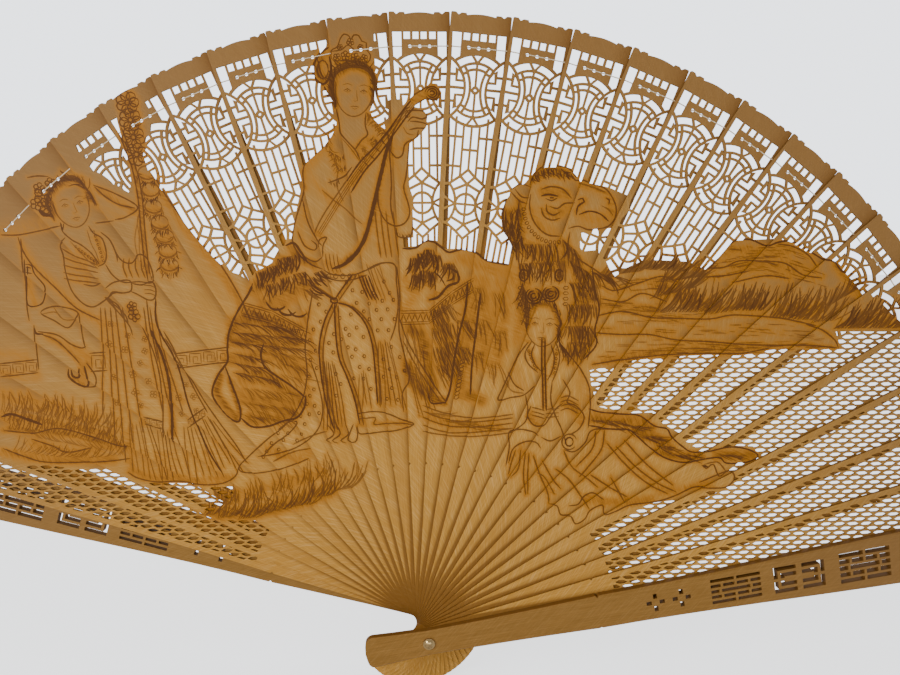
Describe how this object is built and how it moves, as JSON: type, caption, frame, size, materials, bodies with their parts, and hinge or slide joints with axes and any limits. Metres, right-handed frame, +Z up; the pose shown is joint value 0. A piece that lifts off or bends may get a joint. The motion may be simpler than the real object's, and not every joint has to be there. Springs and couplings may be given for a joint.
{
  "type": "folding fan",
  "caption": "Folding fan of pierced wooden sticks between two guards on a rivet, strung with thread near the tips; the sticks turn about the rivet together.",
  "frame": {"origin": "centre of the rivet, at the middle of the stack of sticks", "axes": "+Z up through the middle of the open fan, +X to the right as seen from the front, +Y towards the back"},
  "size_m": [0.4498, 0.0304, 0.2531],
  "materials": {
    "stick_wood": "satin",
    "guard_wood": "satin",
    "rivet": "polished",
    "thread": "matte"
  },
  "bodies": {
    "back": {"back_guard": "guard_wood", "rivet_pin": "rivet", "rivet_washers": "rivet"},
    "front": {"front_guard": "guard_wood"},
    "stick_01_body": {"stick_01": "stick_wood", "thread_01": "thread"},
    "stick_02_body": {"stick_02": "stick_wood", "thread_02": "thread"},
    "stick_03_body": {"stick_03": "stick_wood", "thread_03": "thread"},
    "stick_04_body": {"stick_04": "stick_wood", "thread_04": "thread"},
    "stick_05_body": {"stick_05": "stick_wood", "thread_05": "thread"},
    "stick_06_body": {"stick_06": "stick_wood", "thread_06": "thread"},
    "stick_07_body": {"stick_07": "stick_wood", "thread_07": "thread"},
    "stick_08_body": {"stick_08": "stick_wood", "thread_08": "thread"},
    "stick_09_body": {"stick_09": "stick_wood", "thread_09": "thread"},
    "stick_10_body": {"stick_10": "stick_wood", "thread_10": "thread"},
    "stick_11_body": {"stick_11": "stick_wood", "thread_11": "thread"},
    "stick_12_body": {"stick_12": "stick_wood", "thread_12": "thread"},
    "stick_13_body": {"stick_13": "stick_wood", "thread_13": "thread"},
    "stick_14_body": {"stick_14": "stick_wood", "thread_14": "thread"},
    "stick_15_body": {"stick_15": "stick_wood", "thread_15": "thread"},
    "stick_16_body": {"stick_16": "stick_wood", "thread_16": "thread"},
    "stick_17_body": {"stick_17": "stick_wood", "thread_17": "thread"},
    "stick_18_body": {"stick_18": "stick_wood", "thread_18": "thread"},
    "stick_19_body": {"stick_19": "stick_wood", "thread_19": "thread"},
    "stick_20_body": {"stick_20": "stick_wood", "thread_20": "thread"},
    "stick_21_body": {"stick_21": "stick_wood", "thread_21": "thread"},
    "stick_22_body": {"stick_22": "stick_wood", "thread_22": "thread"},
    "stick_23_body": {"stick_23": "stick_wood", "thread_23": "thread"},
    "stick_24_body": {"stick_24": "stick_wood", "thread_24": "thread"},
    "stick_25_body": {"stick_25": "stick_wood", "thread_25": "thread"},
    "stick_26_body": {"stick_26": "stick_wood", "thread_26": "thread"},
    "stick_27_body": {"stick_27": "stick_wood", "thread_27": "thread"},
    "stick_28_body": {"stick_28": "stick_wood", "thread_28": "thread"}
  },
  "joints": [
    {"name": "fold", "type": "hinge", "parent": "back", "child": "front", "pos_m": [0, 0, 0], "axis": [0, 1, 0], "range_deg": [-153.7, 0]},
    {"name": "turn_01", "type": "hinge", "parent": "back", "child": "stick_01_body", "pos_m": [0, 0, 0], "axis": [0, 1, 0], "range_deg": [-3.75, 0.05]},
    {"name": "turn_02", "type": "hinge", "parent": "back", "child": "stick_02_body", "pos_m": [0, 0, 0], "axis": [0, 1, 0], "range_deg": [-7.75, 0.05]},
    {"name": "turn_03", "type": "hinge", "parent": "back", "child": "stick_03_body", "pos_m": [0, 0, 0], "axis": [0, 1, 0], "range_deg": [-12.99, 0.05]},
    {"name": "turn_04", "type": "hinge", "parent": "back", "child": "stick_04_body", "pos_m": [0, 0, 0], "axis": [0, 1, 0], "range_deg": [-18.27, 0.05]},
    {"name": "turn_05", "type": "hinge", "parent": "back", "child": "stick_05_body", "pos_m": [0, 0, 0], "axis": [0, 1, 0], "range_deg": [-23.59, 0.05]},
    {"name": "turn_06", "type": "hinge", "parent": "back", "child": "stick_06_body", "pos_m": [0, 0, 0], "axis": [0, 1, 0], "range_deg": [-28.95, 0.05]},
    {"name": "turn_07", "type": "hinge", "parent": "back", "child": "stick_07_body", "pos_m": [0, 0, 0], "axis": [0, 1, 0], "range_deg": [-34.33, 0.05]},
    {"name": "turn_08", "type": "hinge", "parent": "back", "child": "stick_08_body", "pos_m": [0, 0, 0], "axis": [0, 1, 0], "range_deg": [-39.75, 0.05]},
    {"name": "turn_09", "type": "hinge", "parent": "back", "child": "stick_09_body", "pos_m": [0, 0, 0], "axis": [0, 1, 0], "range_deg": [-45.19, 0.05]},
    {"name": "turn_10", "type": "hinge", "parent": "back", "child": "stick_10_body", "pos_m": [0, 0, 0], "axis": [0, 1, 0], "range_deg": [-50.65, 0.05]},
    {"name": "turn_11", "type": "hinge", "parent": "back", "child": "stick_11_body", "pos_m": [0, 0, 0], "axis": [0, 1, 0], "range_deg": [-56.13, 0.05]},
    {"name": "turn_12", "type": "hinge", "parent": "back", "child": "stick_12_body", "pos_m": [0, 0, 0], "axis": [0, 1, 0], "range_deg": [-61.62, 0.05]},
    {"name": "turn_13", "type": "hinge", "parent": "back", "child": "stick_13_body", "pos_m": [0, 0, 0], "axis": [0, 1, 0], "range_deg": [-67.13, 0.05]},
    {"name": "turn_14", "type": "hinge", "parent": "back", "child": "stick_14_body", "pos_m": [0, 0, 0], "axis": [0, 1, 0], "range_deg": [-72.64, 0.05]},
    {"name": "turn_15", "type": "hinge", "parent": "back", "child": "stick_15_body", "pos_m": [0, 0, 0], "axis": [0, 1, 0], "range_deg": [-78.15, 0.05]},
    {"name": "turn_16", "type": "hinge", "parent": "back", "child": "stick_16_body", "pos_m": [0, 0, 0], "axis": [0, 1, 0], "range_deg": [-83.66, 0.05]},
    {"name": "turn_17", "type": "hinge", "parent": "back", "child": "stick_17_body", "pos_m": [0, 0, 0], "axis": [0, 1, 0], "range_deg": [-89.17, 0.05]},
    {"name": "turn_18", "type": "hinge", "parent": "back", "child": "stick_18_body", "pos_m": [0, 0, 0], "axis": [0, 1, 0], "range_deg": [-94.68, 0.05]},
    {"name": "turn_19", "type": "hinge", "parent": "back", "child": "stick_19_body", "pos_m": [0, 0, 0], "axis": [0, 1, 0], "range_deg": [-100.17, 0.05]},
    {"name": "turn_20", "type": "hinge", "parent": "back", "child": "stick_20_body", "pos_m": [0, 0, 0], "axis": [0, 1, 0], "range_deg": [-105.65, 0.05]},
    {"name": "turn_21", "type": "hinge", "parent": "back", "child": "stick_21_body", "pos_m": [0, 0, 0], "axis": [0, 1, 0], "range_deg": [-111.11, 0.05]},
    {"name": "turn_22", "type": "hinge", "parent": "back", "child": "stick_22_body", "pos_m": [0, 0, 0], "axis": [0, 1, 0], "range_deg": [-116.55, 0.05]},
    {"name": "turn_23", "type": "hinge", "parent": "back", "child": "stick_23_body", "pos_m": [0, 0, 0], "axis": [0, 1, 0], "range_deg": [-121.97, 0.05]},
    {"name": "turn_24", "type": "hinge", "parent": "back", "child": "stick_24_body", "pos_m": [0, 0, 0], "axis": [0, 1, 0], "range_deg": [-127.35, 0.05]},
    {"name": "turn_25", "type": "hinge", "parent": "back", "child": "stick_25_body", "pos_m": [0, 0, 0], "axis": [0, 1, 0], "range_deg": [-132.71, 0.05]},
    {"name": "turn_26", "type": "hinge", "parent": "back", "child": "stick_26_body", "pos_m": [0, 0, 0], "axis": [0, 1, 0], "range_deg": [-138.03, 0.05]},
    {"name": "turn_27", "type": "hinge", "parent": "back", "child": "stick_27_body", "pos_m": [0, 0, 0], "axis": [0, 1, 0], "range_deg": [-143.31, 0.05]},
    {"name": "turn_28", "type": "hinge", "parent": "back", "child": "stick_28_body", "pos_m": [0, 0, 0], "axis": [0, 1, 0], "range_deg": [-148.56, 0.05]}
  ],
  "couplings": [
    {"joint": "turn_01", "follows": "fold", "ratio": 0.024073},
    {"joint": "turn_02", "follows": "fold", "ratio": 0.050067},
    {"joint": "turn_03", "follows": "fold", "ratio": 0.084165},
    {"joint": "turn_04", "follows": "fold", "ratio": 0.11854},
    {"joint": "turn_05", "follows": "fold", "ratio": 0.15316},
    {"joint": "turn_06", "follows": "fold", "ratio": 0.18801},
    {"joint": "turn_07", "follows": "fold", "ratio": 0.22306},
    {"joint": "turn_08", "follows": "fold", "ratio": 0.25829},
    {"joint": "turn_09", "follows": "fold", "ratio": 0.29369},
    {"joint": "turn_10", "follows": "fold", "ratio": 0.32922},
    {"joint": "turn_11", "follows": "fold", "ratio": 0.36487},
    {"joint": "turn_12", "follows": "fold", "ratio": 0.4006},
    {"joint": "turn_13", "follows": "fold", "ratio": 0.43641},
    {"joint": "turn_14", "follows": "fold", "ratio": 0.47226},
    {"joint": "turn_15", "follows": "fold", "ratio": 0.50813},
    {"joint": "turn_16", "follows": "fold", "ratio": 0.54401},
    {"joint": "turn_17", "follows": "fold", "ratio": 0.57986},
    {"joint": "turn_18", "follows": "fold", "ratio": 0.61566},
    {"joint": "turn_19", "follows": "fold", "ratio": 0.6514},
    {"joint": "turn_20", "follows": "fold", "ratio": 0.68704},
    {"joint": "turn_21", "follows": "fold", "ratio": 0.72257},
    {"joint": "turn_22", "follows": "fold", "ratio": 0.75797},
    {"joint": "turn_23", "follows": "fold", "ratio": 0.79321},
    {"joint": "turn_24", "follows": "fold", "ratio": 0.82826},
    {"joint": "turn_25", "follows": "fold", "ratio": 0.86311},
    {"joint": "turn_26", "follows": "fold", "ratio": 0.89773},
    {"joint": "turn_27", "follows": "fold", "ratio": 0.9321},
    {"joint": "turn_28", "follows": "fold", "ratio": 0.9662}
  ]
}
